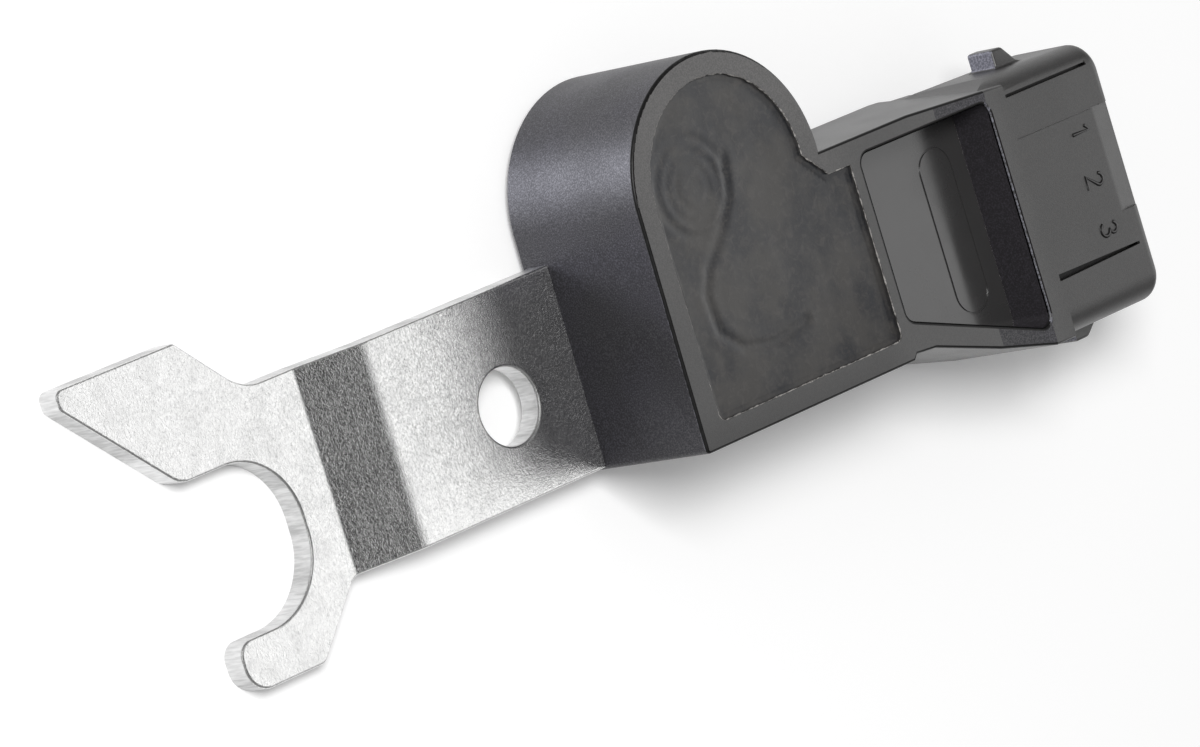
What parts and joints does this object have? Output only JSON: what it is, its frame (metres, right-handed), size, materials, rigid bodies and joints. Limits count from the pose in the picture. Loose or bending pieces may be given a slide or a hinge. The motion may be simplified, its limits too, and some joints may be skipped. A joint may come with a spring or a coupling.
{
  "type": "camshaft position sensor",
  "caption": "Potted sensor head moulded onto a joggled, forked steel mounting bracket, with a recessed neck and an oblong three-way plug socket.",
  "frame": {"origin": "centre of the bracket's bolt hole on the bracket's back face", "axes": "+X towards the plug socket, +Y towards the head's round top, +Z towards the potted front"},
  "size_m": [0.1247, 0.0414, 0.0185],
  "materials": {
    "black_housing_plastic": "fine satin texture of a moulding",
    "zinc_plated_steel": "dull zinc plating, matt and slightly mottled",
    "potting_resin": "poured resin, smooth and matt",
    "tinned_brass": "tin plating over brass",
    "board_laminate": "green solder mask",
    "chip_moulding": "smooth",
    "soft_iron": "bare, dull",
    "magnet_alloy": "nickel plated",
    "holder_plastic": "natural plastic",
    "tinned_lead": "tinned",
    "brown_ceramic": "sintered",
    "black_ceramic": "glazed",
    "solder": "dull grey"
  },
  "bodies": {
    "root": {"housing": "black_housing_plastic", "mounting_bracket": "zinc_plated_steel", "potting_compound": "potting_resin", "terminal_pin_1": "tinned_brass", "terminal_pin_2": "tinned_brass", "terminal_pin_3": "tinned_brass", "circuit_board": "board_laminate", "hall_chip": "chip_moulding", "pole_plate": "soft_iron", "magnet": "magnet_alloy", "chip_holder": "holder_plastic", "hall_lead_1": "tinned_lead", "hall_lead_2": "tinned_lead", "hall_lead_3": "tinned_lead", "capacitor_1": "brown_ceramic", "capacitor_2": "brown_ceramic", "resistor_1": "black_ceramic", "resistor_2": "black_ceramic", "pin_solder_1": "solder", "pin_solder_2": "solder", "pin_solder_3": "solder", "lead_solder_1": "solder", "lead_solder_2": "solder", "lead_solder_3": "solder"}
  },
  "joints": []
}
